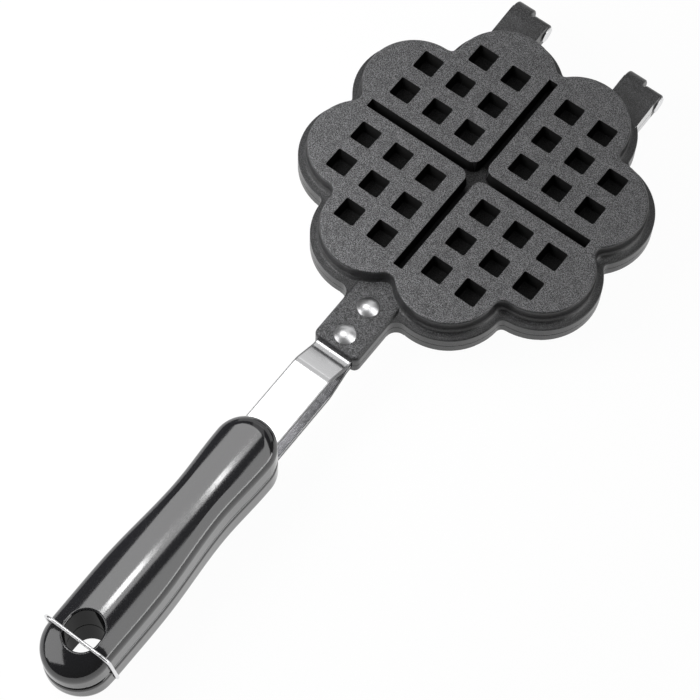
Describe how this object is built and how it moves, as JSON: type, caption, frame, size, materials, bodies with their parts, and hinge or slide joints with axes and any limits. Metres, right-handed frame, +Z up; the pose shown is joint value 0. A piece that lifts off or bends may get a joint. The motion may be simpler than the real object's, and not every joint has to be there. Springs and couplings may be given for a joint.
{
  "type": "stovetop_waffle_iron",
  "caption": "Stovetop waffle iron: two hinged cast halves with a heart pattern, steel straps, moulded grips and a swinging wire clip",
  "frame": {"origin": "middle of the lower plate's flat outer face, on which the closed iron rests", "axes": "+Y from the grips to the hinges, +Z up out of the resting face, +X to the right as seen from the grips"},
  "size_m": [0.1508, 0.3756, 0.0369],
  "materials": {
    "nonstick_cast": "matte",
    "black_moulding": "gloss",
    "bright_steel": "gloss",
    "rivet_steel": "satin"
  },
  "bodies": {
    "lower_half": {"lower_plate": "nonstick_cast", "lower_strap": "bright_steel", "lower_grip": "black_moulding", "lower_rivet_front": "rivet_steel", "lower_rivet_rear": "rivet_steel", "hinge_pin_left": "rivet_steel", "hinge_pin_right": "rivet_steel"},
    "upper_half": {"upper_plate": "nonstick_cast", "upper_strap": "bright_steel", "upper_grip": "black_moulding", "upper_rivet_front": "rivet_steel", "upper_rivet_rear": "rivet_steel"},
    "clip": {"wire_clip": "bright_steel"}
  },
  "joints": [
    {"name": "lid_hinge", "type": "hinge", "parent": "lower_half", "child": "upper_half", "pos_m": [0, 0.0845, 0.013], "axis": [-1, 0, 0], "range_deg": [0, 180]},
    {"name": "clip_swing", "type": "hinge", "parent": "lower_half", "child": "clip", "pos_m": [0, -0.2661, 0.0041], "axis": [1, 0, 0], "range_deg": [0, 180]}
  ]
}
